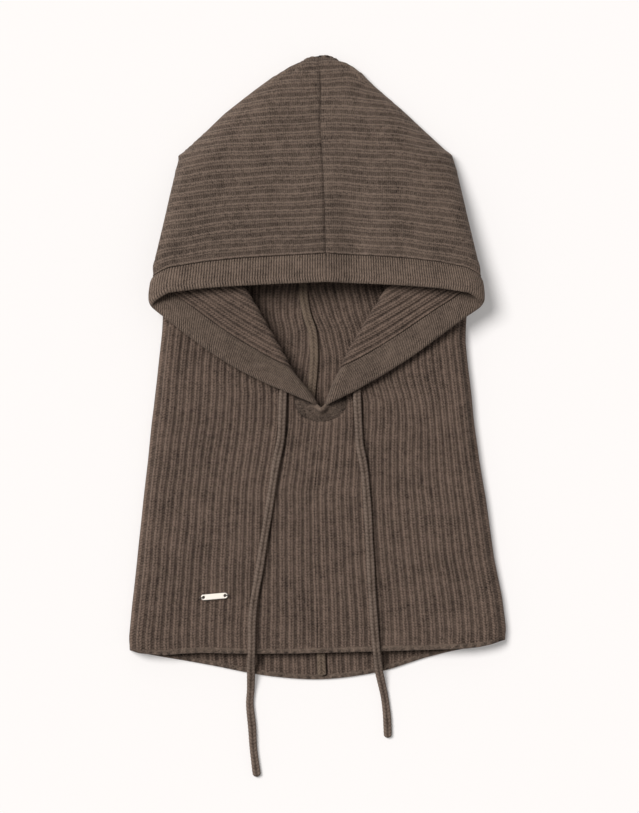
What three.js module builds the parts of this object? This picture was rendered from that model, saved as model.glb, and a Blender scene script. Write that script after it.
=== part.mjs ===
// A knitted snood hood with a drawcord, lying on its back with the face opening up.
//
// Units are millimetres. +Z is up, +Y runs from the hem to the point of the hood, and +X is
// the right-hand side of someone who looks down on it. While it is shaped, Y counts from the
// lowest point of the back hem, and the group then moves the middle of the hood to the origin.
//
// The fabric is one folded sheet. The front of the neck tube runs up to a roll line on each side
// of the face opening, turns over there as a lapel, meets the crown at the outline of the hood,
// and the crown closes over the top on a centre seam. A plain knitted band borders the opening.
import * as THREE from "three";

// Sizes seen from above
const LENGTH = 499; // point of the hood to the back hem
const HEM_WIDTH = 301;
const NECK_WIDTH = 241; // neck tube where the hood begins
const HOOD_WIDTH = 269; // across the corners of the face band
const SHOULDER_WIDTH = 215; // hood where its slopes begin
const CHIN_HEIGHT = 216; // lowest point of the face opening
const CORNER_HEIGHT = 301; // corners of the face band
const BROW_HEIGHT = 318; // upper edge of the face opening, in the middle
const SHOULDER_HEIGHT = 420;
const FRONT_HEM_RISE = 21; // front hem above the back hem, in the middle
const HEM_CORNER_RISE = 27; // ends of both hems
const HEM_SKEW = 9; // right-hand end of the hem above the left-hand end
const BAND_WIDTH = 21; // band round the face opening
const ROLL_ANGLE = THREE.MathUtils.degToRad(29); // roll line of a lapel, from the length

// The knitting
const WALL = 2.2; // thickness along one rib
const RIB_DEPTH = 1.2; // from the top of a rib to the bottom of its groove
const BAND_WALL = 4.2; // doubled plain knitting, with the drawcord in it
const RIBS_ACROSS = 42; // ribs across the front of the neck tube, and across its back
const CROWN_RIB_PITCH = 7.1;
const SEAM_TAKES = 0.42; // share of the back's ribs that end at its seam, below the point
const PIECE_GAP = 0.3;
const JOIN_GAP = 0.9; // between the edges of a lapel and of the crown, at the outline
const BAND_GAP = 0.9; // between the band and the ribbed pieces

// Heights
const NECK_GAP = 5.6; // room between the two hems
const CHIN_LIFT = 2.6; // front of the neck tube, at the chin above its hem
const ROLL_RADIUS = 4.2; // of the lapels, in the middle of the wall
const CROWN_LOFT = 26.5; // middle of the crown's wall above the floor, at the brow
const POINT_LOFT = 9; // the same at the point of the hood
const LAPEL_SAG = 7; // how far the free edge of a lapel bows down towards the neck
const CORNER_RADIUS = 2.7; // height of the fold between lapel and crown, halved

// Drawcord, maker's bar and the seam down the inside of the back
const CORD_WIDTH = 6.4;
const CORD_THICKNESS = 4;
const BACK_INSET = 0.6; // edge of the back panel from the outline, under the side walls
const BAR_LENGTH = 21.5;
const BAR_WIDTH = 4.6;
const BAR_THICKNESS = 1.2;
const BAR_HOLE_RADIUS = 1.15;
const BAR_HOLE_INSET = 2.1; // hole's middle from the end of the bar
const BAR_PLACE = { x: -82.7, y: 66.3, turn: THREE.MathUtils.degToRad(5) };
const THREAD_RADIUS = 0.45;
const SEAM_WIDTH = 7;
const SEAM_THICKNESS = 2.2;

// Sizes worked out from those
const CREST = (WALL + RIB_DEPTH) / 2; // middle of the wall to the top of a rib
const BACK_TOP = WALL + RIB_DEPTH;
const RIM_FOOT = BACK_TOP + PIECE_GAP; // where a side wall stands on the back panel
const HEM_LEVEL = BACK_TOP + NECK_GAP + CREST;
const CHIN_LEVEL = HEM_LEVEL + CHIN_LIFT;
const PLEAT_LEVEL = RIM_FOOT + 1.6 * CREST;

const { lerp, clamp, smoothstep } = THREE.MathUtils;

// Reads column `value` of a table at `at` of column `key`, in straight lines between its rows.
function read(table, key, at, value) {
  let i = 1;
  while (i < table.length - 1 && table[i][key] < at) i++;
  const [low, high] = [table[i - 1], table[i]];
  const share = clamp((at - low[key]) / (high[key] - low[key]), 0, 1);
  return lerp(low[value], high[value], share);
}

// The place between low and high where a rising function passes zero.
function solve(low, high, rising) {
  for (let step = 0; step < 40; step++) {
    const middle = (low + high) / 2;
    if (rising(middle) < 0) low = middle;
    else high = middle;
  }
  return (low + high) / 2;
}

// Outline of the hood. `up` is a share of the way from corner to shoulder, or from shoulder to
// point, and `out` the share of the width that is left.
const HOOD_SIDE = [
  { up: 0, out: 1 },
  { up: 0.15, out: 0.96 },
  { up: 0.31, out: 0.79 },
  { up: 0.63, out: 0.48 },
  { up: 0.9, out: 0.17 },
  { up: 1, out: 0 },
];
const HOOD_SLOPE = [
  { up: 0, out: 1 },
  { up: 0.05, out: 0.95 },
  { up: 0.42, out: 0.665 },
  { up: 0.66, out: 0.45 },
  { up: 0.79, out: 0.33 },
  { up: 0.91, out: 0.2 },
  { up: 0.97, out: 0.1 },
  { up: 1, out: 0 },
];
function hoodHalf(y) {
  if (y < SHOULDER_HEIGHT) {
    const up = (y - CORNER_HEIGHT) / (SHOULDER_HEIGHT - CORNER_HEIGHT);
    return lerp(SHOULDER_WIDTH, HOOD_WIDTH, read(HOOD_SIDE, "up", up, "out")) / 2;
  }
  const up = (y - SHOULDER_HEIGHT) / (LENGTH - SHOULDER_HEIGHT);
  return (read(HOOD_SLOPE, "up", up, "out") * SHOULDER_WIDTH) / 2;
}

// Side of the neck tube, which runs on under the hood to its shoulder.
function neckHalf(y) {
  if (y < CORNER_HEIGHT) {
    const up = clamp((y - HEM_CORNER_RISE) / (CORNER_HEIGHT - HEM_CORNER_RISE), 0, 1);
    return lerp(HEM_WIDTH, NECK_WIDTH, up) / 2;
  }
  const up = (y - CORNER_HEIGHT) / (SHOULDER_HEIGHT - CORNER_HEIGHT);
  return lerp(NECK_WIDTH, SHOULDER_WIDTH, clamp(up, 0, 1)) / 2;
}

// A hem hangs lower in the middle than at its ends.
const hemAt = (middle, out) => lerp(middle, HEM_CORNER_RISE, out * out);

// Roll line of the left lapel: a point on it, its direction and the direction of the opening.
// It lies under the visible edge, by the radius of the roll and half a wall.
const ROLL_START_Y = CHIN_HEIGHT - (ROLL_RADIUS + CREST) / Math.sin(ROLL_ANGLE);
const ROLL_ALONG = { x: -Math.sin(ROLL_ANGLE), y: Math.cos(ROLL_ANGLE) };
const ROLL_ACROSS = { x: Math.cos(ROLL_ANGLE), y: Math.sin(ROLL_ANGLE) };
const ROLL_END = solve(0, LENGTH, (s) => -ROLL_ALONG.x * s - neckHalf(ROLL_START_Y + ROLL_ALONG.y * s));
const alongRoll = (x, y) => x * ROLL_ALONG.x + (y - ROLL_START_Y) * ROLL_ALONG.y;
const acrossRoll = (x, y) => x * ROLL_ACROSS.x + (y - ROLL_START_Y) * ROLL_ACROSS.y;
const rollRadius = (s) => ROLL_RADIUS * lerp(1, 0.5, smoothstep(s / ROLL_END, 0.55, 1));

// How a wall rounds from 0 at its rim to 1 at `reach` from it.
function rounding(distance, reach) {
  const left = 1 - clamp(distance / reach, 0, 1);
  return Math.sqrt(1 - left * left);
}

// Height of the front of the neck tube.
const FRONT_RIM = 13;
function frontHeight(x, y) {
  const pleatY = ROLL_START_Y + ROLL_ALONG.y * ROLL_END;
  const level =
    y < CHIN_HEIGHT
      ? lerp(HEM_LEVEL, CHIN_LEVEL, clamp(y / CHIN_HEIGHT, 0, 1))
      : lerp(CHIN_LEVEL, PLEAT_LEVEL, smoothstep(y, BROW_HEIGHT, pleatY));
  const rim = neckHalf(y) - CREST - Math.abs(x);
  return lerp(RIM_FOOT, level, rounding(rim, FRONT_RIM));
}

// Height of a lapel, and of the fold at the outline where it meets the crown.
const LAPEL_RIM = 6;
function lapelLevel(x, y) {
  const s = clamp(alongRoll(-Math.abs(x), y), 0, ROLL_END);
  const foot = { x: ROLL_ALONG.x * s, y: ROLL_START_Y + ROLL_ALONG.y * s };
  return frontHeight(foot.x, foot.y) + 2 * rollRadius(s);
}
function foldHeight(y) {
  const folded = lapelLevel(hoodHalf(y), y) + CORNER_RADIUS;
  const pleatTop = lerp(CORNER_HEIGHT, SHOULDER_HEIGHT, 0.72);
  return lerp(folded, RIM_FOOT, smoothstep(y, pleatTop, SHOULDER_HEIGHT));
}
function lapelHeight(x, y) {
  const rim = hoodHalf(y) - CREST - Math.abs(x);
  return lerp(foldHeight(y) - JOIN_GAP / 2, lapelLevel(x, y), rounding(rim, LAPEL_RIM));
}

// Height of the crown. `up` is a share of the way from the brow to the point.
const CROWN_RISE = [
  { up: 0, loft: 1, rim: 0.3 },
  { up: 0.25, loft: 0.98, rim: 0.45 },
  { up: 0.55, loft: 0.86, rim: 0.8 },
  { up: 0.8, loft: 0.55, rim: 1 },
  { up: 0.93, loft: 0.28, rim: 0.8 },
  { up: 1, loft: 0, rim: 0.5 },
];
const CROWN_RIM = 26;
function crownHeight(x, y) {
  const up = (y - BROW_HEIGHT) / (LENGTH - BROW_HEIGHT);
  const level = lerp(POINT_LOFT, CROWN_LOFT, read(CROWN_RISE, "up", up, "loft"));
  const reach = CROWN_RIM * read(CROWN_RISE, "up", up, "rim");
  const steep = y > SHOULDER_HEIGHT ? 0.6 : 1; // the slopes run across the width
  const rim = (hoodHalf(y) - CREST - Math.abs(x)) * steep;
  const foot = foldHeight(y) + JOIN_GAP / 2;
  return lerp(foot, Math.max(level, foot + CORNER_RADIUS), rounding(rim, reach));
}

// The whole hood lies a little askew at the hem.
function settle(x, y) {
  const share = 1 - smoothstep(y, 0, CHIN_HEIGHT);
  return y + (share * HEM_SKEW * x) / HEM_WIDTH;
}

// Direction square to a surface, given as a function of two places that returns a point.
function normalTo(surface, x, y) {
  const step = 0.02;
  const at = (dx, dy) => new THREE.Vector3().copy(surface(x + dx, y + dy));
  const along = at(step, 0).sub(at(-step, 0));
  return along.cross(at(0, step).sub(at(0, -step))).normalize();
}

// A sheet of fabric: points in the middle of its wall, each with its wall above and below, and
// the quads between them. solid() gives the closed wall round it.
class Sheet {
  points = [];
  faces = [];
  known = new Map();

  // `square` names the axis that the edge of a wall is cut square to.
  point({ x, y, z, up, down = up, square, normal }) {
    const key = [x, y, z].map((v) => Math.round(v * 1000)).join();
    if (!this.known.has(key)) {
      this.known.set(key, this.points.length);
      const at = new THREE.Vector3(x, y, z);
      this.points.push({ at, up, down, square, normal, sum: new THREE.Vector3() });
    }
    return this.known.get(key);
  }

  // Adds a patch on a grid of `columns` by `rows` points, and its mirror image too if asked.
  patch(columns, rows, place, sides) {
    for (const side of sides) {
      const at = (i, j) => {
        const p = place(i, j);
        const normal = p.normal?.clone().multiply(new THREE.Vector3(side, 1, 1));
        return this.point({ ...p, x: p.x * side, normal });
      };
      for (let i = 0; i + 1 < columns; i++) {
        for (let j = 0; j + 1 < rows; j++) {
          const quad = [at(i, j), at(i + 1, j), at(i + 1, j + 1), at(i, j + 1)];
          if (side < 0) quad.reverse();
          this.quad(quad);
        }
      }
    }
  }

  quad([a, b, c, d]) {
    const far = (i, j) => this.points[i].at.distanceTo(this.points[j].at);
    const halves = far(a, c) <= far(b, d) ? [[a, b, c], [a, c, d]] : [[a, b, d], [b, c, d]];
    this.faces.push(...halves.filter(([i, j, k]) => i !== j && j !== k && i !== k));
  }

  solid() {
    for (const face of this.faces) {
      const corners = face.map((i) => this.points[i]);
      corners.forEach((p, i) => {
        const out = corners[(i + 1) % 3].at.clone().sub(p.at);
        const back = corners[(i + 2) % 3].at.clone().sub(p.at);
        const angle = out.angleTo(back);
        p.sum.addScaledVector(out.cross(back).normalize(), angle);
      });
    }
    const count = this.points.length;
    const places = new Float32Array(count * 6);
    this.points.forEach(({ at, up, down, sum, normal = sum, square }, i) => {
      if (square) normal[square] = 0;
      normal.normalize();
      at.clone().addScaledVector(normal, up).toArray(places, i * 3);
      at.clone().addScaledVector(normal, -down).toArray(places, (count + i) * 3);
    });
    const edges = new Set();
    for (const [a, b, c] of this.faces) {
      for (const [from, to] of [[a, b], [b, c], [c, a]]) {
        if (!edges.delete(`${to},${from}`)) edges.add(`${from},${to}`);
      }
    }
    const index = [];
    for (const [a, b, c] of this.faces) index.push(a, b, c, count + a, count + c, count + b);
    const corner = (i) => new THREE.Vector3().fromArray(places, i * 3);
    for (const edge of edges) {
      const [from, to] = edge.split(",").map(Number);
      const [a, b, c, d] = [from, count + from, count + to, to];
      const straight = corner(a).distanceTo(corner(c)) < corner(b).distanceTo(corner(d));
      index.push(...(straight ? [a, b, c, a, c, d] : [b, c, d, b, d, a]));
    }
    for (let i = 0; i < count * 2; i++) {
      places[i * 3 + 1] = settle(places[i * 3], places[i * 3 + 1]);
    }
    const geometry = new THREE.BufferGeometry();
    geometry.setAttribute("position", new THREE.BufferAttribute(places, 3));
    geometry.setIndex(index);
    geometry.computeVertexNormals();
    return geometry;
  }
}

const LEFT = [1];
const RIGHT = [-1];
const BOTH = [1, -1];

// A ribbed wall, with its top and bottom thrown up and down by half a rib in turn.
const ribbed = (halfRib) => {
  const wave = (halfRib % 2 ? -1 : 1) * (RIB_DEPTH / 2);
  return { up: WALL / 2 + wave, down: WALL / 2 - wave };
};

// Back panel: flat where it rests, ribbed on top. Its ribs run up from the hem. The inner ones
// end at the centre seam, and the others at the slopes of the hood.
function backPanel() {
  const halfRibs = RIBS_ACROSS;
  const seamStart = CHIN_HEIGHT; // above this the seam takes up ribs
  const pointShare = Math.round(SEAM_TAKES * halfRibs) / halfRibs;
  const taken = (y) => smoothstep((y - seamStart) / (LENGTH - seamStart), 0, 1.5);
  const centreShare = (y) => (pointShare * taken(y)) / taken(LENGTH);
  const edgeShare = (y) =>
    lerp(1, pointShare, clamp((y - SHOULDER_HEIGHT) / (LENGTH - SHOULDER_HEIGHT), 0, 1));
  const outline = (y) => Math.max(0, (y < SHOULDER_HEIGHT ? neckHalf(y) : hoodHalf(y)) - BACK_INSET);
  const rows = [0, 0.22, 0.42, 0.6, 0.76, 0.9, 1];
  const sheet = new Sheet();
  const place = (i, j) => {
    const share = 1 - i / halfRibs;
    const end =
      share < pointShare
        ? solve(seamStart, LENGTH, (y) => centreShare(y) - share)
        : solve(SHOULDER_HEIGHT, LENGTH, (y) => share - edgeShare(y));
    const y = lerp(hemAt(0, share), end, rows[j]);
    const [inner, outer] = [centreShare(y), edgeShare(y)];
    const out = outer - inner < 1e-6 ? 0 : clamp((share - inner) / (outer - inner), 0, 1);
    const atRim = i === 0 || (j === rows.length - 1 && share >= pointShare);
    const groove = i % 2 && !atRim ? RIB_DEPTH : 0;
    return { x: -outline(y) * out, y, z: 0, up: BACK_TOP - groove, down: 0 };
  };
  sheet.patch(halfRibs + 1, rows.length, place, BOTH);
  return sheet.solid();
}

// Front of the neck tube with both lapels. A point is placed where it would lie if the lapel
// were opened out flat, and then rolled over. `share` runs from the side to the centre.
const LAPEL_REACH = 0.56; // length of a lapel's free edge, as a share of the hood's width
const neckLine = CHIN_HEIGHT + 6; // where the band's outer edge turns round the chin
const chinDrop = 12; // how far that edge dips in the middle
const bandShare = 1 - BAND_WIDTH / (neckHalf(neckLine) - CREST);
function openedX(share, y) {
  const half = neckHalf(y) - CREST;
  if (y < neckLine) return -half * (1 - share);
  return -lerp(half, BAND_WIDTH - lapelBow(y), share / bandShare);
}
function lapelBow(y) {
  const up = clamp((y - neckLine) / (HOOD_WIDTH * LAPEL_REACH), 0, 1);
  return LAPEL_SAG * Math.sin(up * Math.PI);
}
function rolled(x, y) {
  const across = acrossRoll(x, y);
  if (across <= 0) return { x, y, z: frontHeight(x, y) };
  const s = alongRoll(x, y);
  const radius = rollRadius(s);
  const angle = Math.min(across / radius, Math.PI);
  const over = Math.max(0, across - Math.PI * radius);
  const out = radius * Math.sin(angle) - over;
  const foot = { x: ROLL_ALONG.x * s, y: ROLL_START_Y + ROLL_ALONG.y * s };
  const to = { x: foot.x + ROLL_ACROSS.x * out, y: foot.y + ROLL_ACROSS.y * out };
  const start = frontHeight(foot.x, foot.y);
  const z = over > 0 ? lapelHeight(to.x, to.y) : start + radius * (1 - Math.cos(angle));
  return { ...to, z };
}
const frontPoint = (x, y) => ({ ...rolled(x, y), normal: normalTo(rolled, x, y) });

// Where, going up from the hem, a line of the opened-out lapel reaches an angle of the roll.
const rollAt = (xAt, angle) =>
  solve(0, LENGTH, (y) => acrossRoll(xAt(y), y) - angle * rollRadius(alongRoll(xAt(y), y)));
// Where such a line reaches the outline of the hood.
const outlineAt = (xAt) =>
  solve(rollAt(xAt, Math.PI), LENGTH, (y) => {
    const to = rolled(xAt(y), y);
    return -to.x - (hoodHalf(to.y) - CREST);
  });

// Steps round the roll and from there to the outline, shared by a lapel and its band, and steps
// from the seam to the outline, shared by the crown and its band.
const ROLL_STEPS = [0.25, 0.5, 0.75, 1];
const LAPEL_STEPS = [0.35, 0.75, 0.93, 0.98, 1];
const CROWN_STEPS = [0, 0.25, 0.5, 0.72, 0.87, 0.95, 0.985, 1];

function frontPanel() {
  const halfRibs = RIBS_ACROSS;
  const bandRib = Math.round(bandShare * halfRibs);
  const firstFolded = 6; // the pleat runs out before the last ribs
  const lower = [0, 0.45, 1];
  const upper = [0.5, 1];
  const sheet = new Sheet();
  const rib = (i) => (i / bandRib) * bandShare;
  const wallOf = (i) => ribbed(i);
  const upTo = (i) => {
    const xAt = (y) => openedX(rib(i), y);
    const bottom = hemAt(FRONT_HEM_RISE, 1 - rib(i));
    const start = rollAt(xAt, 0);
    const neck = Math.min(neckLine, start - 1);
    const end = rollAt(xAt, Math.PI);
    const top = i < firstFolded ? start : outlineAt(xAt);
    return [
      ...lower.map((t) => lerp(bottom, neck, t)),
      ...upper.map((t) => lerp(neck, start, t)),
      ...ROLL_STEPS.map((t) => rollAt(xAt, t * Math.PI)),
      ...LAPEL_STEPS.map((t) => lerp(end, top, t)),
    ];
  };
  const heights = [];
  for (let i = 0; i <= bandRib; i++) heights.push(upTo(i));
  const flatRows = lower.length + upper.length;
  const allRows = heights[0].length;
  const place = (i, j) => {
    const y = heights[i][j];
    const square = i === 0 || j === allRows - 1 ? "z" : undefined;
    return { ...frontPoint(openedX(rib(i), y), y), ...wallOf(i), square };
  };
  sheet.patch(bandRib + 1, flatRows, place, BOTH);
  const folded = (i, j) => place(i + firstFolded, j + flatRows - 1);
  sheet.patch(bandRib + 1 - firstFolded, allRows - flatRows + 1, folded, BOTH);

  // The ribs under the chin end at the band, which turns round there.
  const chinRibs = halfRibs - bandRib;
  const chin = (i, j) => {
    const t = i / chinRibs;
    const share = lerp(bandShare, 1, t);
    const top = neckLine - chinDrop * Math.sqrt(1 - (1 - t) * (1 - t));
    const y = lerp(hemAt(FRONT_HEM_RISE, 1 - share), top, lower[j]);
    const x = -(neckHalf(y) - CREST) * (1 - share);
    const flat = (x, y) => ({ x, y, z: frontHeight(x, y) });
    return { ...flat(x, y), normal: normalTo(flat, x, y), ...wallOf(bandRib + i) };
  };
  sheet.patch(chinRibs + 1, lower.length, chin, BOTH);
  return sheet.solid();
}

// Curve of the brow, and of the band's outer edge on the crown. `out` is a share of the width.
const BROW = [
  { out: 0, free: 0, outer: 0 },
  { out: 0.35, free: 0.12, outer: 0.2 },
  { out: 0.7, free: 0.4, outer: 0.6 },
  { out: 0.88, free: 0.65, outer: 0.82 },
  { out: 1, free: 1, outer: 1 },
];
const BAND_TOP_MIDDLE = BROW_HEIGHT + BAND_WIDTH;
const BAND_TOP_SIDE = CORNER_HEIGHT + BAND_WIDTH * 1.2;
const browAt = (out, across) => {
  const free = lerp(BROW_HEIGHT, CORNER_HEIGHT, read(BROW, "out", out, "free"));
  const outer = lerp(BAND_TOP_MIDDLE, BAND_TOP_SIDE, read(BROW, "out", out, "outer"));
  return lerp(free, outer, across);
};

const crownSurface = (x, y) => ({ x, y, z: crownHeight(x, y) });
const crownPoint = (x, y) => ({ ...crownSurface(x, y), normal: normalTo(crownSurface, x, y) });

// One half of the crown, with its ribs across the hood from the centre seam to the outline.
function crownHalf(sides) {
  const halfRibs = 2 * Math.round((LENGTH - BAND_TOP_MIDDLE) / CROWN_RIB_PITCH);
  const inside = HOOD_WIDTH / 2 - CREST;
  const sheet = new Sheet();
  const place = (i, j) => {
    const foot = lerp(BAND_TOP_MIDDLE, LENGTH - CREST, i / halfRibs);
    const dip = lerp(1, 0.7, i / halfRibs);
    const line = (x) => foot - dip * (BAND_TOP_MIDDLE - browAt(x / inside, 1));
    const reach = (x) => x - Math.max(0, hoodHalf(line(x)) - CREST);
    const end = i === halfRibs ? 0 : solve(0, HOOD_WIDTH / 2, reach);
    const x = end * CROWN_STEPS[j];
    const y = line(x);
    const wall = end < 2 * CREST ? { up: WALL / 2, down: WALL / 2 } : ribbed(i);
    const atSeam = j === 0 || i === halfRibs;
    const square = atSeam ? "x" : j === CROWN_STEPS.length - 1 ? "z" : undefined;
    return { ...crownPoint(-x, y), ...wall, square };
  };
  sheet.patch(halfRibs + 1, CROWN_STEPS.length, place, sides);
  const side = -sides[0];
  const geometry = sheet.solid();
  const places = geometry.attributes.position;
  for (let i = 0; i < places.count; i++) {
    places.setX(i, side * Math.max(PIECE_GAP / 2, side * places.getX(i)));
  }
  return geometry;
}

// Band round the face opening. It stands up round the chin, rolls over with each lapel, folds
// over at the corner of the hood and runs across the brow. Each of its lines is a share `q` of
// the way from the free edge to the seam, and runs from the chin to the middle of the brow.
const CHIN_STAND = 6.6; // height of the band's free edge over its seam, in the middle of the chin
function faceBand() {
  const across = [0, 0.4, 0.75, 1];
  const chinTurns = 3;
  const width = BAND_WIDTH - BAND_GAP;
  const inside = HOOD_WIDTH / 2 - CREST;
  const chinSeam = neckLine - chinDrop + BAND_GAP;
  const openedLine = (q, y) => lapelBow(y) - lerp(BAND_GAP, width, q);

  const chinMiddle = (q) => {
    const rise = ((1 - q) * Math.PI) / 2;
    return {
      x: 0,
      y: lerp(chinSeam, CHIN_HEIGHT + BAND_WALL / 2, Math.sin(rise)),
      z: frontHeight(0, chinSeam) + CHIN_STAND * (1 - Math.cos(rise)),
    };
  };
  const chin = (q, t) => {
    const [middle, side] = [chinMiddle(q), rolled(openedLine(q, neckLine), neckLine)];
    const round = (t * Math.PI) / 2;
    const share = lerp(t, Math.sin(round), 0.5);
    const bow = {
      x: width * (share - Math.sin(round)),
      y: chinDrop * (1 - share - Math.cos(round)),
    };
    return {
      x: lerp(middle.x, side.x, share) + q * bow.x,
      y: lerp(middle.y, side.y, share) + q * bow.y,
      z: lerp(middle.z, side.z, share),
    };
  };
  const lines = across.map((q) => {
    const xAt = (y) => openedLine(q, y);
    const flat = Math.max(neckLine, rollAt(xAt, 0));
    const over = rollAt(xAt, Math.PI);
    const top = outlineAt(xAt);
    const places = [];
    for (let k = 0; k < chinTurns; k++) places.push(chin(q, k / chinTurns));
    const heights = [
      neckLine,
      lerp(neckLine, flat, 0.5) + 0.01,
      flat + 0.02,
      ...ROLL_STEPS.map((t) => Math.max(flat + 0.02 + t, rollAt(xAt, t * Math.PI))),
      ...LAPEL_STEPS.map((t) => lerp(over, top, t)),
    ];
    for (const y of heights) places.push(frontPoint(xAt(y), y));
    const corner = places[places.length - 1];
    corner.square = "z";
    for (const share of CROWN_STEPS.slice(0, -1).reverse()) {
      const x = corner.x * share;
      const straight = browAt(Math.min(1, -x / inside), (q * width) / BAND_WIDTH);
      const y = lerp(corner.y, straight, smoothstep(1 - share, 0, 0.1));
      places.push(crownPoint(x, y));
    }
    return places;
  });
  const sheet = new Sheet();
  const place = (i, j) => ({ ...lines[j][i], up: BAND_WALL / 2 });
  sheet.patch(lines[0].length, across.length, place, BOTH);
  return sheet.solid();
}

// Seam allowance down the inside of the back, from the hem to near the point. `up` is a share of
// the length of the hood, and `out` a share of its width.
const SEAM_RUN = [
  { up: 0.004, out: 0.013 },
  { up: 0.25, out: -0.004 },
  { up: 0.45, out: -0.019 },
  { up: 0.49, out: -0.013 },
  { up: 0.525, out: -0.01 },
  { up: 0.56, out: -0.016 },
  { up: 0.585, out: -0.031 },
  { up: 0.63, out: -0.043 },
  { up: 0.78, out: -0.02 },
  { up: 0.94, out: 0 },
];
const SEAM_SECTION = [
  { out: -0.5, up: 0.4 },
  { out: -0.25, up: 1 },
  { out: 0.25, up: 1 },
  { out: 0.5, up: 0.4 },
];
function backSeam() {
  const sheet = new Sheet();
  const place = (i, j) => ({
    x: SEAM_RUN[j].out * HOOD_WIDTH + SEAM_SECTION[i].out * SEAM_WIDTH,
    y: SEAM_RUN[j].up * LENGTH,
    z: RIM_FOOT,
    up: SEAM_SECTION[i].up * SEAM_THICKNESS,
    down: 0,
  });
  sheet.patch(SEAM_SECTION.length, SEAM_RUN.length, place, LEFT);
  return sheet.solid();
}

// Routes of the two ends of the drawcord, from under the lapels, over the hem and on to the
// surface that the hood lies on.
const CORD_ROUTES = {
  cord_left: [
    [-27.3, 233.4, 17.3],
    [-27.7, 227.8, 17.3],
    [-28, 220, 17.3],
    [-28.5, 207.8, 17.2],
    [-29.3, 193.3, 17],
    [-33.3, 173.3, 16.8],
    [-37.3, 146.8, 16.5],
    [-42.1, 116.3, 16.1],
    [-46.9, 85.8, 15.8],
    [-50.9, 62.6, 15.5],
    [-52.5, 45, 15.3],
    [-52.6, 28, 15.1],
    [-52.9, 19.6, 14.8],
    [-53.3, 11.2, 9.6],
    [-53.4, 4, 6.7],
    [-53.5, -2.4, 4.7],
    [-53.7, -9.6, 2.7],
    [-54.4, -20.1, 2.3],
    [-52.6, -39.3, 2.3],
    [-51.6, -55.4, 2.3],
    [-50.1, -68.2, 2.3],
    [-48.5, -79.4, 2.3],
  ],
  cord_right: [
    [31.7, 233.4, 17.3],
    [31.7, 227.8, 17.3],
    [32.1, 217.4, 17.3],
    [32.9, 203.8, 17.2],
    [33.9, 187.7, 17],
    [36.5, 174.1, 16.8],
    [38.1, 162.8, 16.7],
    [40.5, 131.6, 16.3],
    [42.1, 101.1, 15.9],
    [43.7, 70.6, 15.6],
    [45.7, 41, 15.3],
    [46.8, 29, 15.2],
    [47.4, 22.3, 14.9],
    [48.5, 13.6, 9.7],
    [49.3, 6.4, 6.9],
    [50.9, -0.8, 5],
    [52.4, -7.5, 3],
    [53.9, -14.6, 2.3],
    [55.8, -29.7, 2.3],
    [56.3, -39.3, 2.3],
    [56.6, -48.1, 2.3],
  ],
};
const CORD_SIDES = 8;
const CORD_STEP = 1.35; // in widths of the cord
function cord(route) {
  const points = route.map((at) => new THREE.Vector3(...at));
  const path = new THREE.CatmullRomCurve3(points, false, "centripetal");
  const section = new THREE.Shape();
  for (let i = 0; i < CORD_SIDES; i++) {
    const turn = (i / CORD_SIDES) * 2 * Math.PI;
    const [x, y] = [(CORD_THICKNESS / 2) * Math.cos(turn), (CORD_WIDTH / 2) * Math.sin(turn)];
    if (i === 0) section.moveTo(x, y);
    else section.lineTo(x, y);
  }
  section.closePath();
  const steps = Math.ceil(path.getLength() / (CORD_STEP * CORD_WIDTH));
  return new THREE.ExtrudeGeometry(section, { extrudePath: path, steps, bevelEnabled: false });
}

// The bar lies on the ribs, and a stitch through each hole holds it.
const BAR_FOOT = frontHeight(BAR_PLACE.x, BAR_PLACE.y + BAR_WIDTH) + CREST + PIECE_GAP;
const BAR_HOLE = BAR_LENGTH / 2 - BAR_HOLE_INSET;
function metalBar() {
  const reach = (BAR_LENGTH - BAR_WIDTH) / 2;
  const outline = new THREE.Shape();
  outline.absarc(reach, 0, BAR_WIDTH / 2, -Math.PI / 2, Math.PI / 2);
  outline.absarc(-reach, 0, BAR_WIDTH / 2, Math.PI / 2, (3 * Math.PI) / 2);
  for (const x of [-BAR_HOLE, BAR_HOLE]) {
    outline.holes.push(new THREE.Path().absarc(x, 0, BAR_HOLE_RADIUS, 0, 2 * Math.PI));
  }
  return new THREE.ExtrudeGeometry(outline, {
    depth: BAR_THICKNESS,
    curveSegments: 10,
    bevelEnabled: false,
  });
}
function barStitch(side) {
  const outside = BAR_LENGTH / 2 + THREAD_RADIUS + PIECE_GAP;
  const over = BAR_THICKNESS + THREAD_RADIUS + PIECE_GAP;
  const path = new THREE.CatmullRomCurve3([
    new THREE.Vector3(side * BAR_HOLE, 0, 0),
    new THREE.Vector3(side * BAR_HOLE, 0, BAR_THICKNESS),
    new THREE.Vector3((side * (BAR_HOLE + outside)) / 2, 0, over + THREAD_RADIUS),
    new THREE.Vector3(side * outside, 0, BAR_THICKNESS),
    new THREE.Vector3(side * outside, 0, 0),
  ]);
  const section = new THREE.Shape().absarc(0, 0, THREAD_RADIUS, 0, 2 * Math.PI);
  return new THREE.ExtrudeGeometry(section, {
    extrudePath: path,
    steps: 12,
    curveSegments: 4,
    bevelEnabled: false,
  });
}

const materials = {
  wool: new THREE.MeshStandardMaterial({ color: 0x5d4f46, roughness: 0.95 }),
  cord: new THREE.MeshStandardMaterial({ color: 0x62544b, roughness: 0.95 }),
  metal: new THREE.MeshStandardMaterial({ color: 0xe6dfd0, roughness: 0.25, metalness: 1 }),
};

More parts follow.
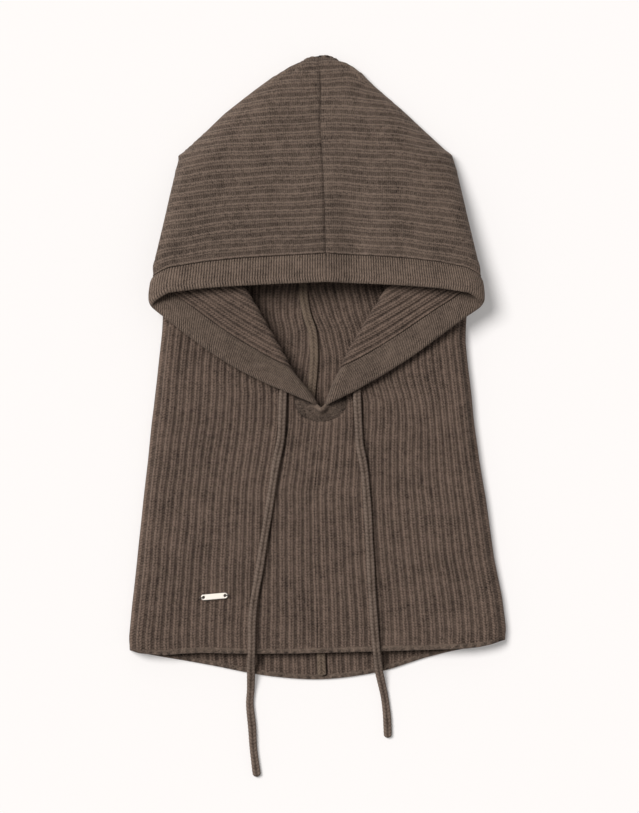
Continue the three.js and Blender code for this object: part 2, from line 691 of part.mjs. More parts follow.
const hood = new THREE.Group();
function add(group, name, geometry, material) {
  const mesh = new THREE.Mesh(geometry, material);
  mesh.name = name;
  group.add(mesh);
}
add(hood, "back_panel", backPanel(), materials.wool);
add(hood, "front_panel", frontPanel(), materials.wool);
add(hood, "crown_left", crownHalf(LEFT), materials.wool);
add(hood, "crown_right", crownHalf(RIGHT), materials.wool);
add(hood, "face_band", faceBand(), materials.wool);
add(hood, "back_seam", backSeam(), materials.wool);
const middle = new THREE.Box3().setFromObject(hood).getCenter(new THREE.Vector3());
hood.position.set(-middle.x, -middle.y, 0);
for (const [name, route] of Object.entries(CORD_ROUTES)) {
  add(hood, name, cord(route), materials.cord);
}

const bar = new THREE.Group();
bar.position.set(BAR_PLACE.x, BAR_PLACE.y, BAR_FOOT);
bar.rotation.z = BAR_PLACE.turn;
add(bar, "metal_bar", metalBar(), materials.metal);
add(bar, "bar_stitch_left", barStitch(-1), materials.cord);
add(bar, "bar_stitch_right", barStitch(1), materials.cord);
hood.add(bar);

export default hood;
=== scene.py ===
import math

import bmesh
import bpy
import numpy as np
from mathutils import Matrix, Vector


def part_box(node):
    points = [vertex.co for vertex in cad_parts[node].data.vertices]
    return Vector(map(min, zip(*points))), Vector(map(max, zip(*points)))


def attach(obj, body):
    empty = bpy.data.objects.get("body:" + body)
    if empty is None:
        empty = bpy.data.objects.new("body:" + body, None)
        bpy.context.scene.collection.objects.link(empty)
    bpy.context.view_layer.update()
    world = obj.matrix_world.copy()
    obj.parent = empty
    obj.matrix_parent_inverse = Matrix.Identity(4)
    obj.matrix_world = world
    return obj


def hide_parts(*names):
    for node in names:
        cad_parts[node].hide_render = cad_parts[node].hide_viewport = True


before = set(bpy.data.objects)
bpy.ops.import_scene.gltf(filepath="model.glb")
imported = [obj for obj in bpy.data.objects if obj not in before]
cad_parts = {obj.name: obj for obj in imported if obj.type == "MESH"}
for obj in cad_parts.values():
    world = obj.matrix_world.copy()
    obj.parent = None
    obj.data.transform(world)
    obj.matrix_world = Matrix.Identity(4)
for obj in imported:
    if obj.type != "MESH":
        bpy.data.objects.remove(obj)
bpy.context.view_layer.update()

# A knitted snood hood with a drawcord, lying on its back on a pale table and seen from above.
# Sizes are in millimetres, with Y counted from the lowest point of the back hem, until a point
# is placed: then they are metres, with the middle of the hood at the origin.
MM = 0.001
HEM_TO_MIDDLE = 249.409

LENGTH = 499  # point of the hood to the back hem
HEM_WIDTH = 301
NECK_WIDTH = 241
HOOD_WIDTH = 269  # across the corners of the face band
SHOULDER_WIDTH = 215
CHIN_HEIGHT = 216
CORNER_HEIGHT = 301
BROW_HEIGHT = 318
SHOULDER_HEIGHT = 420
HEM_CORNER_RISE = 27
HEM_SKEW = 9
BAND_WIDTH = 21
ROLL_ANGLE = math.radians(29)  # roll line of a lapel, from the length

WALL = 2.2  # thickness of the knitting along one rib
RIB_DEPTH = 1.2
BAND_WALL = 4.2
HALF_RIBS = 42  # in half the width of the neck tube, with crests and grooves both counted
CROWN_HALF_RIBS = 46  # from the brow to the point
SEAM_TAKES = 18 / HALF_RIBS  # share of the back's ribs that end at its seam
HEM_LEVEL = 10.7  # heights over the table, of the middle of the wall
CHIN_LEVEL = 13.3
RIM_FOOT = 3.7
CROWN_LOFT = 26.5
POINT_LOFT = 9
ROLL_RADIUS = 4.2  # of the lapel where it turns over
CORNER_RADIUS = 2.7  # of the fold at a corner of the face opening
LAPEL_SAG = 7  # how far the free edge of a lapel bows
CREST = (WALL + RIB_DEPTH) / 2  # middle of the wall to the top of a rib
PLEAT_LEVEL = RIM_FOOT + 1.6 * CREST

CORD_WIDTH = 6.4
CORD_THICKNESS = 4

BODY = "root"


# Camera: straight above, far enough off to keep the edges of the hood upright
VIEW_HEIGHT = 0.6522  # metres of table that the picture is high
VIEW_MIDDLE = (0.0016, -0.0308)
VIEW_LEVEL = 0.012  # height over the table where that is true
LENS = 200
SENSOR = 36
camera_data = bpy.data.cameras.new("camera")
camera_data.sensor_fit = "VERTICAL"
camera_data.sensor_height = SENSOR
camera_data.lens = LENS
camera = bpy.data.objects.new("camera", camera_data)
camera.location = (*VIEW_MIDDLE, VIEW_LEVEL + VIEW_HEIGHT * LENS / SENSOR)
bpy.context.scene.collection.objects.link(camera)
bpy.context.scene.camera = camera


def lerp(a, b, share):
    return a + (b - a) * share


def smoothstep(at, low, high):
    share = np.clip((at - low) / (high - low), 0, 1)
    return share * share * (3 - 2 * share)


def solve(low, high, rising):
    """The place between low and high where a rising function passes zero."""
    for _ in range(40):
        middle = (low + high) / 2
        below = rising(middle) < 0
        low, high = np.where(below, middle, low), np.where(below, high, middle)
    return (low + high) / 2


def rounding(distance, reach):
    """Height of a quarter circle, from 0 at its edge to 1 at reach and further in."""
    return np.sqrt(1 - (1 - np.clip(distance / reach, 0, 1)) ** 2)


def hump(at, middle, reach):
    """A round rise to 1 at the middle, which fades out at about twice reach on both sides."""
    return np.exp(-(((at - middle) / reach) ** 2))


def drift(x, y, reach, seed):
    """Slow unevenness, from about -1 to 1, over lengths of about reach."""
    chance = np.random.default_rng(seed)
    total = 0
    for _ in range(6):
        turn, phase = chance.uniform(0, 2 * np.pi, 2)
        rate = 2 * np.pi / (reach * chance.uniform(0.6, 1.8))
        total = total + np.sin(rate * (x * np.cos(turn) + y * np.sin(turn)) + phase)
    return total / 3


# Materials
WANDER_ACROSS = 0.3  # how far a stitch lies out of line, in ribs
WANDER_ALONG = 1.6  # the same along the ribs, in millimetres
PATCHES = 0.5  # strength of the lighter and darker patches in the wool


def linear(hex_colour):
    """Linear colour of an sRGB hex value."""
    parts = [int(hex_colour[i : i + 2], 16) / 255 for i in (1, 3, 5)]
    return [p / 12.92 if p <= 0.04045 else ((p + 0.055) / 1.055) ** 2.4 for p in parts] + [1]


def add(tree, kind, settings=None, links=None):
    """Adds a node. A link's value is another node's output or a constant."""
    node = tree.nodes.new(kind)
    for name, value in (settings or {}).items():
        setattr(node, name, value)
    for socket, value in (links or {}).items():
        if isinstance(value, bpy.types.NodeSocket):
            tree.links.new(value, node.inputs[socket])
        else:
            node.inputs[socket].default_value = value
    return node


def new_material(name, **shader):
    material = bpy.data.materials.new(name)
    material.use_nodes = True
    tree = material.node_tree
    surface = tree.nodes["Principled BSDF"]
    for socket, value in shader.items():
        surface.inputs[socket.replace("_", " ")].default_value = value
    return material, tree, surface


def knitting(
    name, light, dark, stitch, slant, rib_share, depth, leg, loops=0.5, purl_and_shade_tone=0.5, fleck=0.9
):
    """Wool knitting on a piece's own UV map: u counts ribs, with a crest at each whole number,
    and v is millimetres along them. A column of V stitches fills rib_share of a rib, and its
    groove shows the backs of the stitches as short dashes. stitch is the length of one, and
    slant how far its legs lean, in stitches. leg is the place and the breadth of a leg of the V,
    from the middle of the column to its side. depth is that of the bump in millimetres. The
    colour follows the same relief as the bump, so it carries painted shade: the grooves, the
    sides of the legs and the lines between stitches are painted darker, and dark is the colour
    of both the darkest fibres and that painted shade. loops is how dark the painted shade line
    between two stitches is, purl_and_shade_tone how bright the dashes are against the painted
    shade of the groove, and fleck how strongly the yarn is heathered."""
    material, tree, surface = new_material(
        name, Roughness=0.92, Sheen_Weight=0.22, Sheen_Roughness=0.5, Specular_IOR_Level=0.2
    )
    surface.inputs["Sheen Tint"].default_value = linear("#B5A498")

    def maths(operation, a, b=0.0, c=0.0):
        return add(tree, "ShaderNodeMath", {"operation": operation}, {0: a, 1: b, 2: c}).outputs[0]

    def noise(scale, detail):
        """Noise about zero, with scale grains to the metre."""
        links = {"Vector": place, "Scale": scale, "Detail": detail}
        return maths("SUBTRACT", add(tree, "ShaderNodeTexNoise", {}, links).outputs["Fac"], 0.5)

    uv = add(tree, "ShaderNodeUVMap", {"uv_map": "knit"}).outputs[0]
    axes = add(tree, "ShaderNodeSeparateXYZ", links={0: uv}).outputs
    place = add(tree, "ShaderNodeTexCoord").outputs["Object"]
    uneven = noise(700.0, 1.0)
    u = maths("MULTIPLY_ADD", uneven, WANDER_ACROSS, axes[0])
    v = maths("MULTIPLY_ADD", uneven, WANDER_ALONG, axes[1])

    out = maths("MULTIPLY", maths("PINGPONG", u, 0.5), 2.0)  # 0 on a crest and 1 in a groove
    within = maths("DIVIDE", out, rib_share)
    rows = maths("MULTIPLY_ADD", within, -slant, maths("DIVIDE", v, stitch))
    strand = maths("MINIMUM", maths("MULTIPLY", maths("PINGPONG", rows, 0.5), 2.8), 1.0)
    off_leg = maths("DIVIDE", maths("ABSOLUTE", maths("SUBTRACT", within, leg[0])), leg[1])
    ridge = maths("SUBTRACT", 1.0, maths("POWER", maths("MINIMUM", off_leg, 1.0), 2.0))
    knit = maths("MULTIPLY", ridge, maths("MULTIPLY_ADD", strand, loops, 1.0 - loops))
    groove = add(
        tree,
        "ShaderNodeMapRange",
        {"interpolation_type": "SMOOTHSTEP"},
        {"Value": out, "From Min": rib_share * 0.92, "From Max": rib_share * 1.2},
    ).outputs[0]
    dashes = maths("PINGPONG", maths("DIVIDE", v, stitch), 0.5)
    ladder = maths("MULTIPLY_ADD", dashes, 1.2 * purl_and_shade_tone, 0.4 * purl_and_shade_tone)
    purl = maths("MULTIPLY", ladder, groove)
    relief = maths("ADD", maths("MULTIPLY", knit, maths("SUBTRACT", 1.0, groove)), purl)

    fibres = noise(1300.0, 2.0)  # flecks of a millimetre, as in a heathered yarn
    tone = maths("MULTIPLY_ADD", fibres, fleck, relief)
    for scale, detail in ((60.0, 2.0), (260.0, 1.0)):  # patches of 17 and of 4 mm
        tone = maths("MULTIPLY_ADD", noise(scale, detail), PATCHES, tone)
    # The mix from dark to light follows tone: its stitch relief is painted shade in the hollows,
    # its flecks and patches are the yarn's own tone.
    colour = add(
        tree,
        "ShaderNodeMix",
        {"data_type": "RGBA", "clamp_factor": True},
        {0: tone, 6: linear(dark), 7: linear(light)},
    ).outputs[2]
    tree.links.new(colour, surface.inputs["Base Color"])
    height = maths("MULTIPLY_ADD", fibres, 0.6, relief)
    bump = add(
        tree, "ShaderNodeBump", {}, {"Strength": 0.9, "Distance": depth * MM, "Height": height}
    )
    tree.links.new(bump.outputs[0], surface.inputs["Normal"])
    return material


# Chunky rib in heathered wool: two bright legs of V stitches on each crest, and between them
# a ladder of dashes in painted groove shade
RIBBED_WOOL = knitting(
    "ribbed_wool", "#7C695D", "#1E1713", stitch=2.2, slant=0.6, rib_share=0.52, depth=0.8,
    leg=(0.6, 0.72), loops=0.5, purl_and_shade_tone=0.5,
)
# The same rib, stretched less: narrow crests, and broad grooves in painted shade with fine dashes
# across them
CROWN_WOOL = knitting(
    "crown_ribbed_wool", "#7D6C60", "#1B1411", stitch=1.7, slant=0.4, rib_share=0.46, depth=0.7,
    leg=(0.58, 0.72), loops=0.4, purl_and_shade_tone=0.64, fleck=1.2,
)
# Stocking stitch in the same yarn: narrow columns of V stitches with a painted shade line between
# them
PLAIN_WOOL = knitting(
    "plain_wool", "#837164", "#181210", stitch=3.0, slant=0.9, rib_share=1.0, depth=0.7,
    leg=(0.0, 1.02), loops=0.4, fleck=1.2,
)
# Knitted cord: coarse columns of stitches, drawn tight, with painted shade between them
CORD_WOOL = knitting(
    "cord_wool", "#7B6B60", "#332821", stitch=2.9, slant=0.5, rib_share=1.0, depth=0.5,
    leg=(0.0, 1.1),
)
# Overcast seam: coarse slanted stitches, which catch the light, with painted shade between them
SEAM_WOOL = knitting(
    "seam_wool", "#7F6E5F", "#2A201A", stitch=2.7, slant=1.1, rib_share=1.0, depth=0.8,
    leg=(0.2, 1.0),
)


# Meshes
def placed(points):
    """Points as metres from the middle of the hood."""
    return (points - (0, HEM_TO_MIDDLE, 0)) * MM


# How the cloth has settled: (height, lean of its sides to the right, factor of its width)
SETTLED = (
    (0, 0, 1.0), (26, 0, 1.006), (37, 0, 1.016), (63, -0.4, 1.016), (95, -1.6, 1.006),
    (144, -2.4, 1.002), (176, -3.2, 0.994), (208, -3.6, 0.992), (272, -3.6, 0.99),
    (288, -2.4, 1), (298, -1.2, 1.012), (303, -0.8, 1.022), (318, -0.8, 1.021),
    (327, -1, 1.01), (336, -1.2, 1.006), (375, -1.2, 1.002), (403, -1.2, 1.011),
    (413, -1.2, 1.018), (423, -1.6, 1.03), (440, -1.8, 1.03), (452, -2, 1.035),
    (471, -1.2, 1.052), (485, 0, 1.06), (499, 0.8, 1.08),
)
# Lean of the middle of the front, which was pulled to the right at the chin
MIDDLE_LEAN = (
    (30, 0), (63, -0.4), (95, -1.6), (150, -2.4), (185, 1), (205, 3), (222, 3), (230, 2),
    (238, 0), (250, -1.5), (288, -1.5), (304, -1.2), (403, -1.3), (452, -2), (499, 0.8),
)
LEAN_REACH = 130  # distance from the middle where the lean is that of the sides
POINT_SWELL = 3.9  # how much fuller the hood is to the right of its point
POINT_SWELL_PLACE = 27
POINT_SWELL_REACH = 12.5
# Seam down the inside of the back: (height, place)
SEAM_RUN = (
    (2, 3.5), (125, -1.1), (225, -5.1), (244.5, -3.5), (262, -2.7), (279.4, -4.3), (292, -8.3),
    (314.4, -11.6), (389, -5.4), (469, 0),
)


def read(table, at, value=1):
    """Column value of a table, in straight lines between its rows."""
    return np.interp(at, [row[0] for row in table], [row[value] for row in table])


def settle(points, middle=MIDDLE_LEAN):
    """The cloth lies a little askew, as it was laid down by hand."""
    x, y, z = points.T
    share = 1 - smoothstep(y, 0, CHIN_HEIGHT)
    skewed = y + share * HEM_SKEW * x / HEM_WIDTH
    swell = POINT_SWELL * hump(x, POINT_SWELL_PLACE, POINT_SWELL_REACH)
    skewed += swell * smoothstep(y, 455, 490)
    lean = lerp(read(middle, y), read(SETTLED, y), np.minimum(1, (x / LEAN_REACH) ** 2))
    return placed(np.stack([x * read(SETTLED, y, 2) + lean, skewed, z], 1))


def settle_back(points):
    """The ribs of the back run to its seam on both sides."""
    return settle(points, SEAM_RUN)


def add_grid(mesh, columns, rows, place, lay=settle):
    """Adds a grid of quads. place(i, j) gives each point and its place in the knitting."""
    made = bmesh.ops.create_grid(mesh, x_segments=columns, y_segments=rows, size=0.5)["verts"]
    at = np.array([v.co[:2] for v in made])
    at -= at.min(0)
    at /= at.max(0)
    points, pattern = place(np.round(at[:, 0] * columns), np.round(at[:, 1] * rows))
    layer = mesh.loops.layers.uv["knit"]
    for vertex, point, uv in zip(made, lay(points), np.stack(pattern, 1)):
        vertex.co = point
        for loop in vertex.link_loops:
            loop[layer].uv = uv


def new_mesh():
    mesh = bmesh.new()
    mesh.loops.layers.uv.new("knit")
    return mesh


def finish_piece(name, mesh, material, nodes, wall=None, merge=0.02, smooth=True):
    """Makes the object of a mesh, with a wall on both sides of it where one is given."""
    bmesh.ops.remove_doubles(mesh, verts=mesh.verts, dist=merge * MM)
    bmesh.ops.recalc_face_normals(mesh, faces=mesh.faces)
    data = bpy.data.meshes.new(name)
    mesh.to_mesh(data)
    mesh.free()
    if smooth:
        data.shade_smooth()
    data.materials.append(material)
    piece = bpy.data.objects.new(name, data)
    bpy.context.scene.collection.objects.link(piece)
    if wall:
        solidify = piece.modifiers.new("wall", "SOLIDIFY")
        solidify.thickness = wall * MM
        solidify.offset = 0
    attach(piece, BODY)
    if nodes:
        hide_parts(*nodes)
    return piece


# Cords: the two ends of the drawcord, from under the lapels over the hem to the table
CORD_ROUTES = {
    "cord_left": [
        (-27.3, 233.4, 17.3), (-27.7, 227.8, 17.3), (-28, 220, 17.3), (-28.5, 207.8, 17.2),
        (-29.3, 193.3, 17), (-33.3, 173.3, 16.8), (-37.3, 146.8, 16.5), (-42.1, 116.3, 16.1),
        (-46.9, 85.8, 15.8), (-50.9, 62.6, 15.5), (-52.5, 45, 15.3), (-52.6, 28, 15.1),
        (-52.9, 19.6, 14.8), (-53.3, 11.2, 9.6), (-53.4, 4, 6.7), (-53.5, -2.4, 4.7),
        (-53.7, -9.6, 2.7), (-54.4, -20.1, 2.3), (-52.6, -39.3, 2.3), (-51.6, -55.4, 2.3),
        (-50.1, -68.2, 2.3), (-48.5, -79.4, 2.3),
    ],
    "cord_right": [
        (31.7, 233.4, 17.3), (31.7, 227.8, 17.3), (32.1, 217.4, 17.3), (32.9, 203.8, 17.2),
        (33.9, 187.7, 17), (36.5, 174.1, 16.8), (38.1, 162.8, 16.7), (40.5, 131.6, 16.3),
        (42.1, 101.1, 15.9), (43.7, 70.6, 15.6), (45.7, 41, 15.3), (46.8, 29, 15.2),
        (47.4, 22.3, 14.9), (48.5, 13.6, 9.7), (49.3, 6.4, 6.9), (50.9, -0.8, 5),
        (52.4, -7.5, 3), (53.9, -14.6, 2.3), (55.8, -29.7, 2.3), (56.3, -39.3, 2.3),
        (56.6, -48.1, 2.3),
    ],
}


CURVE_STEPS = 12  # from one given point of a route to the next


def curve_point(four, knots, t):
    """The place at t on the centripetal curve through four points, which it passes at knots."""

    def mix(p, q, i, j):
        return ((knots[j] - t) * p + (t - knots[i]) * q) / (knots[j] - knots[i])

    ab, bc, cd = [mix(four[i], four[i + 1], i, i + 1) for i in range(3)]
    return mix(mix(ab, bc, 0, 2), mix(bc, cd, 1, 3), 1, 2)


def smooth_route(points, spacing):
    """Points at even spacing on a smooth curve through the given ones, and its length."""
    points = [np.array(p, float) for p in points]
    points = [2 * points[0] - points[1], *points, 2 * points[-1] - points[-2]]
    curve = []
    for four in zip(points, points[1:], points[2:], points[3:]):
        knots = np.cumsum([0] + [np.linalg.norm(q - p) ** 0.5 for p, q in zip(four, four[1:])])
        for t in np.linspace(knots[1], knots[2], CURVE_STEPS, endpoint=False):
            curve.append(curve_point(four, knots, t))
    curve = np.array(curve + [points[-2]])
    length = np.concatenate([[0], np.cumsum(np.linalg.norm(np.diff(curve, axis=0), axis=1))])
    even = np.linspace(0, length[-1], max(2, round(length[-1] / spacing)))
    return np.stack([np.interp(even, length, curve[:, k]) for k in range(3)], 1), length[-1]


def add_tube(mesh, line, length, around, section, across=None):
    """Adds a tube along a line. section(turn, along) gives its reach across and up, and its
    place in the pattern. across is a fixed direction square to the line."""
    ahead = np.gradient(line, axis=0)
    ahead /= np.linalg.norm(ahead, axis=1, keepdims=True)
    side = np.cross(ahead, (0, 0, 1)) if across is None else ahead * 0 + across
    side /= np.linalg.norm(side, axis=1, keepdims=True)
    up = np.cross(side, ahead)
    along = np.linspace(0, length, len(line))

    def place(i, j):
        j = j.astype(int)
        out, rise, pattern = section(i / around * 2 * np.pi, along[j])
        return line[j] + side[j] * out[:, None] + up[j] * rise[:, None], pattern

    add_grid(mesh, around, len(line) - 1, place, lay=placed)


CORD_AROUND = 24
CORD_STEP = 0.9  # spacing of the points along a cord, and along the back seam
CORD_END_ROUND = 3.2  # length of its closed, rounded end
CORD_STITCH = 2.9
CORD_LINE = 0.16  # depth of the line between its two columns, as a share of the thickness


def cord(name, route):
    line, length = smooth_route(route, CORD_STEP)

    def section(turn, along):
        taper = rounding(np.minimum(along, length - along), CORD_END_ROUND)
        width = CORD_WIDTH / 2 * (1 + 0.04 * np.sin(along / 7)) * taper
        pinch = 1 - CORD_LINE * np.abs(np.sin(turn)) ** 6
        stitches = 1 + 0.03 * np.cos(2 * np.pi * along / CORD_STITCH + 2 * np.abs(np.cos(turn)))
        rise = np.sin(turn) * CORD_THICKNESS / 2 * taper * pinch * stitches
        return np.cos(turn) * width * stitches, rise, (turn / np.pi * 2 + 0.5, along)

    mesh = new_mesh()
    add_tube(mesh, line, length, CORD_AROUND, section)
    piece = finish_piece(name + "_knit", mesh, CORD_WOOL, [name])


for cord_name, cord_route in CORD_ROUTES.items():
    cord(cord_name, cord_route)


# Shape of the hood, from tables of shares
# Sides, from the corners of the face band to the shoulders: (up, share of the extra width)
HOOD_SIDE = ((0, 1), (0.15, 0.96), (0.31, 0.79), (0.63, 0.48), (0.9, 0.17), (1, 0))
# Outline from the shoulders to the point: (up, share of the width)
HOOD_SLOPE = (
    (0, 1), (0.05, 0.95), (0.42, 0.665), (0.66, 0.45), (0.79, 0.33), (0.91, 0.2), (0.95, 0.14),
    (0.975, 0.09), (0.992, 0.04), (1, 0),
)
# Crown from the brow to the point: (up, loft, breadth of its rounded rim)
CROWN_RISE = (
    (0, 1, 0.3), (0.25, 0.98, 0.45), (0.55, 0.86, 0.8), (0.8, 0.55, 1), (0.93, 0.28, 0.8),
    (1, 0, 0.5),
)
# Fall of the band from the middle of the brow: (out, of its free edge, of its attached edge)
BROW = (
    (0, 0, -0.17), (0.3, 0.1, 0), (0.5, 0.18, 0.13), (0.7, 0.3, 0.36), (0.88, 0.5, 0.7),
    (1, 0.9, 1),
)


def hood_half(y):
    """Half the width of the hood at a height."""
    side = read(HOOD_SIDE, (y - CORNER_HEIGHT) / (SHOULDER_HEIGHT - CORNER_HEIGHT))
    slope = read(HOOD_SLOPE, (y - SHOULDER_HEIGHT) / (LENGTH - SHOULDER_HEIGHT))
    low = lerp(SHOULDER_WIDTH, HOOD_WIDTH, side)
    return np.where(y < SHOULDER_HEIGHT, low, slope * SHOULDER_WIDTH) / 2


def neck_half(y):
    """Half the width of the neck tube at a height."""
    low = np.clip((y - HEM_CORNER_RISE) / (CORNER_HEIGHT - HEM_CORNER_RISE), 0, 1)
    high = np.clip((y - CORNER_HEIGHT) / (SHOULDER_HEIGHT - CORNER_HEIGHT), 0, 1)
    return (lerp(HEM_WIDTH, NECK_WIDTH, low) + lerp(0, SHOULDER_WIDTH - NECK_WIDTH, high)) / 2


# Front hem, a little wavy: (place from left to right, height)
FRONT_HEM = (
    (-1, 27), (-0.96, 25), (-0.82, 23.5), (-0.72, 24.2), (-0.62, 24.4), (-0.5, 23.4),
    (-0.38, 22.6), (-0.11, 21.6), (0.3, 21.4), (0.8, 21.6), (0.87, 22.5), (0.94, 24.4), (1, 27),
)
# How far the back hem is drawn up between its middle and each corner
BACK_HEM_BULGE = {"left": 1.5, "right": 3.1}


def front_hem(place):
    return read(FRONT_HEM, place)


def back_hem(place):
    """Straight towards the corners and round in the middle, where it hangs lowest."""
    out = np.abs(place)
    bulge = np.where(place > 0, BACK_HEM_BULGE["right"], BACK_HEM_BULGE["left"])
    bulge = bulge * smoothstep(out, 0.3, 0.6) * (1 - smoothstep(out, 0.65, 1))
    share = ((out * out + 0.04) ** 0.65 - 0.123) / 0.903  # 0 in the middle and 1 at a corner
    return HEM_CORNER_RISE * share + bulge


ROLL_START_Y = CHIN_HEIGHT - (ROLL_RADIUS + CREST) / math.sin(ROLL_ANGLE)
ROLL_ALONG = (-math.sin(ROLL_ANGLE), math.cos(ROLL_ANGLE))
ROLL_ACROSS = (math.cos(ROLL_ANGLE), math.sin(ROLL_ANGLE))


def along_roll(x, y):
    return x * ROLL_ALONG[0] + (y - ROLL_START_Y) * ROLL_ALONG[1]


def across_roll(x, y):
    return x * ROLL_ACROSS[0] + (y - ROLL_START_Y) * ROLL_ACROSS[1]


def roll_point(s):
    return ROLL_ALONG[0] * s, ROLL_START_Y + ROLL_ALONG[1] * s


ROLL_END = float(
    solve(0.0, float(LENGTH), lambda s: -roll_point(s)[0] - neck_half(roll_point(s)[1]))
)


def roll_radius(s):
    """The roll is tighter towards the pleat, where it ends."""
    return ROLL_RADIUS * lerp(1, 0.5, smoothstep(s / ROLL_END, 0.55, 1))


# Breadths in which each layer rounds down to its side
FRONT_RIM = 13
LAPEL_RIM = 6
CROWN_RIM = 26


def front_height(x, y):
    """Height of the front of the neck tube, which rounds down to its sides."""
    low = lerp(HEM_LEVEL, CHIN_LEVEL, np.clip(y / CHIN_HEIGHT, 0, 1))
    high = lerp(CHIN_LEVEL, PLEAT_LEVEL, smoothstep(y, BROW_HEIGHT, roll_point(ROLL_END)[1]))
    level = np.where(y < CHIN_HEIGHT, low, high)
    return lerp(RIM_FOOT, level, rounding(neck_half(y) - CREST - np.abs(x), FRONT_RIM))


def lapel_level(x, y):
    """Height of a lapel away from its rim, from that of its roll."""
    s = np.clip(along_roll(-np.abs(x), y), 0, ROLL_END)
    return front_height(*roll_point(s)) + 2 * roll_radius(s)


def fold_height(y):
    """Height of the fold at the side, which goes down into the pleat."""
    folded = lapel_level(hood_half(y), y) + CORNER_RADIUS
    pleat_top = lerp(CORNER_HEIGHT, SHOULDER_HEIGHT, 0.72)
    return lerp(folded, RIM_FOOT, smoothstep(y, pleat_top, SHOULDER_HEIGHT))


def lapel_height(x, y):
    """Height of a lapel, up to the fold at the side."""
    rim = hood_half(y) - CREST - np.abs(x)
    return lerp(fold_height(y), lapel_level(x, y), rounding(rim, LAPEL_RIM))


def crown_height(x, y):
    """Height of the crown, lofted over the lapels and the back."""
    up = (y - BROW_HEIGHT) / (LENGTH - BROW_HEIGHT)
    level = lerp(POINT_LOFT, CROWN_LOFT, read(CROWN_RISE, up))
    reach = CROWN_RIM * read(CROWN_RISE, up, 2)
    steep = lerp(1, 0.6, smoothstep(y, SHOULDER_HEIGHT - 6, SHOULDER_HEIGHT + 12))
    foot = fold_height(y)
    rim = (hood_half(y) - CREST - np.abs(x)) * steep
    return lerp(foot, np.maximum(level, foot + CORNER_RADIUS), rounding(rim, reach))


def square_to(surface, x, y):
    """Direction square to a surface that is a function of two places."""
    step = 0.05
    along = surface(x + step, y) - surface(x - step, y)
    up = surface(x, y + step) - surface(x, y - step)
    normal = np.cross(along, up)
    return normal / np.maximum(np.linalg.norm(normal, axis=1, keepdims=True), 1e-9)


def mirrored(points, side):
    return points * (side, 1, 1)


FLANK = 0.48  # share of a rib in which its sides fall to the grooves
CREST_LINE = 0.3  # depth and breadth of the line down a crest


def rib_relief(u, v, seed, edge=1.0, crest=0.2):
    """Height of a ribbed wall over its middle: round crests with a faint line down them, and
    flat grooves between. crest is the flat share of a rib. The knitting is a little uneven."""
    out = 2 * np.abs(u - np.round(u))
    line = CREST_LINE * (1 - smoothstep(out, 0, CREST_LINE))
    shape = 1 - 2 * smoothstep(out, crest, crest + FLANK) - line
    return RIB_DEPTH / 2 * shape * edge * (0.9 + 0.3 * drift(u * 7, v, 60, seed))


SAMPLES = 4  # columns of quads in half a rib


# Back panel
BACK_INSET = 0.6  # how far its sides stay inside the outline
BACK_ROWS = 90
TINY = 1e-6


def taken(y):
    """How far the seam has taken up the ribs of the back, in a unit of its own."""
    return smoothstep((y - CHIN_HEIGHT) / (LENGTH - CHIN_HEIGHT), 0, 1.5)


def back_panel():
    # Shares of half the ribs that lie between the seam and the side of the back at a height
    def centre_share(y):
        return SEAM_TAKES * taken(y) / taken(LENGTH)

    def edge_share(y):
        up = np.clip((y - SHOULDER_HEIGHT) / (LENGTH - SHOULDER_HEIGHT), 0, 1)
        return lerp(1, SEAM_TAKES, up)

    def half(side):
        def place(i, j):
            share = 1 - i / (HALF_RIBS * SAMPLES)  # 0 in the middle and 1 at the side
            chin, shoulder, point = [share * 0 + y for y in (CHIN_HEIGHT, SHOULDER_HEIGHT, LENGTH)]
            inner_end = solve(chin, point, lambda y: centre_share(y) - share)
            outer_end = solve(shoulder, point, lambda y: share - edge_share(y))
            end = np.where(share < SEAM_TAKES, inner_end, outer_end)
            bottom = back_hem(-share * side)
            y = lerp(bottom, end, j / BACK_ROWS)
            inner, outer = centre_share(y), edge_share(y)
            room = np.maximum(outer - inner, TINY)
            out = np.where(room > TINY, np.clip((share - inner) / room, 0, 1), 0)
            outline = np.where(y < SHOULDER_HEIGHT, neck_half(y), hood_half(y)) - BACK_INSET
            x = -np.maximum(0, outline) * out
            u = i / SAMPLES / 2
            edge = smoothstep(y - bottom, 1, 5) * 0.9 + 0.1
            z = CREST + rib_relief(u, y, 11, edge)
            wobble = 0.35 * drift(u * 7 + 300 * (side > 0), y, 45, 12) * smoothstep(out, 0, 0.03)
            points = np.stack([(x + wobble * (out < 0.97)) * side, y, z], 1)
            return points, (u + 50 * (side < 0), y)

        return place

    mesh = new_mesh()
    for side in (1, -1):
        add_grid(mesh, HALF_RIBS * SAMPLES, BACK_ROWS, half(side), lay=settle_back)
    return finish_piece(
        "back_panel_knit", mesh, RIBBED_WOOL, ["back_panel"], wall=WALL, merge=0.05
    )


# Front of the neck tube with both lapels
NECK_LINE = CHIN_HEIGHT + 6  # where the face opening is as wide as the band
CHIN_DROP = 15.5  # how far the opening reaches below that line
LAPEL_REACH = 0.56  # height of a lapel's bow, as a share of the hood's width
BAND_SHARE = 1 - BAND_WIDTH / (float(neck_half(NECK_LINE)) - CREST)
BAND_RIB = round(BAND_SHARE * HALF_RIBS)
FIRST_FOLDED = 6  # the half ribs nearer the side end in the pleat, below the lapel
HEM_STRIP = 3.8  # height in which the ribs fade into the plain edge
LAPEL_INSET = 3.2  # how far inside the outline the lapels end, under the crown


def lapel_bow(y):
    up = np.clip((y - NECK_LINE) / (HOOD_WIDTH * LAPEL_REACH), 0, 1)
    return LAPEL_SAG * np.sin(up * np.pi)


def opened_x(share, y):
    """Place of a line of knitting with the lapel opened out: share is 0 at the side."""
    half = neck_half(y) - CREST
    above = -lerp(half, BAND_WIDTH - lapel_bow(y), share / BAND_SHARE)
    return np.where(y < NECK_LINE, -half * (1 - share), above)


def flat_front(x, y):
    return np.stack([x, y, front_height(x, y)], 1)


